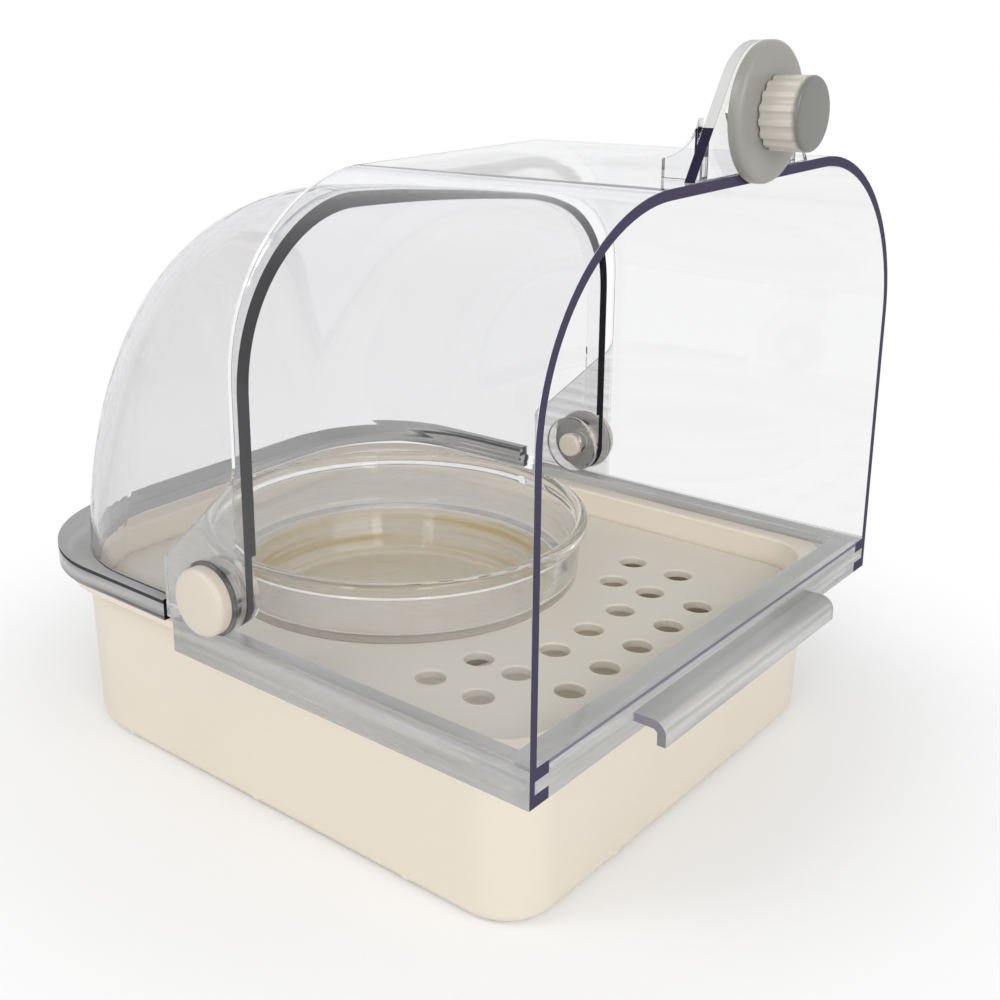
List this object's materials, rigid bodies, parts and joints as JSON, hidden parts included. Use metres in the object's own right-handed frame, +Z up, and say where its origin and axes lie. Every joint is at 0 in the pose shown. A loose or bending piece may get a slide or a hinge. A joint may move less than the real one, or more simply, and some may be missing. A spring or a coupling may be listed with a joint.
{
  "type": "hanging bird bath",
  "caption": "Hanging bird bath: cream drip tray, drain plate and clear bowl under a clear slide-on hood with a hinged visor, a hook lip and a screw clamp for a cage.",
  "frame": {"origin": "under the middle of the whole part, on the surface the tray stands on", "axes": "+X towards the cage the bath hangs on, out of the hood's open front; +Y along the visor's hinge to the far side; +Z up"},
  "size_m": [0.173, 0.149, 0.1632],
  "materials": {
    "cream_plastic": "satin",
    "plate_plastic": "satin",
    "clear_plastic": "polished clear",
    "bowl_clear": "polished clear",
    "grey_plastic": "satin",
    "steel": "zinc plated"
  },
  "bodies": {
    "tray": {"base_tray": "cream_plastic"},
    "plate": {"drain_plate": "plate_plastic"},
    "bowl": {"bath_bowl": "bowl_clear"},
    "hood": {"hood": "clear_plastic", "clamp_bracket": "clear_plastic", "clamp_screw": "steel", "near_pivot_cap": "cream_plastic", "far_pivot_cap": "cream_plastic", "near_pivot_washer": "clear_plastic", "far_pivot_washer": "clear_plastic", "near_pivot_ring": "clear_plastic", "far_pivot_ring": "clear_plastic"},
    "visor": {"visor": "clear_plastic"},
    "disc": {"clamp_disc": "grey_plastic"},
    "knob": {"clamp_knob": "grey_plastic", "knob_nut": "steel"}
  },
  "joints": [
    {"name": "plate_lift", "type": "slide", "parent": "tray", "child": "plate", "axis": [0, 0, 1], "range_m": [0, 0.006]},
    {"name": "bowl_lift", "type": "slide", "parent": "plate", "child": "bowl", "axis": [0, 0, 1], "range_m": [0, 0.015]},
    {"name": "hood_slide", "type": "slide", "parent": "tray", "child": "hood", "axis": [1, 0, 0], "range_m": [0, 0.008]},
    {"name": "visor_hinge", "type": "hinge", "parent": "hood", "child": "visor", "pos_m": [-0.00555, 0, 0.0526], "axis": [0, 1, 0], "range_deg": [0, 90]},
    {"name": "clamp_travel", "type": "slide", "parent": "hood", "child": "disc", "axis": [1, 0, 0], "range_m": [0, 0.0048]},
    {"name": "knob_turn", "type": "hinge", "parent": "disc", "child": "knob", "pos_m": [0.07585, 0, 0.1501], "axis": [1, 0, 0], "range_deg": [0, 2161]}
  ],
  "couplings": [
    {"joint": "knob_turn", "follows": "clamp_travel", "rad_per_m": 7854}
  ]
}
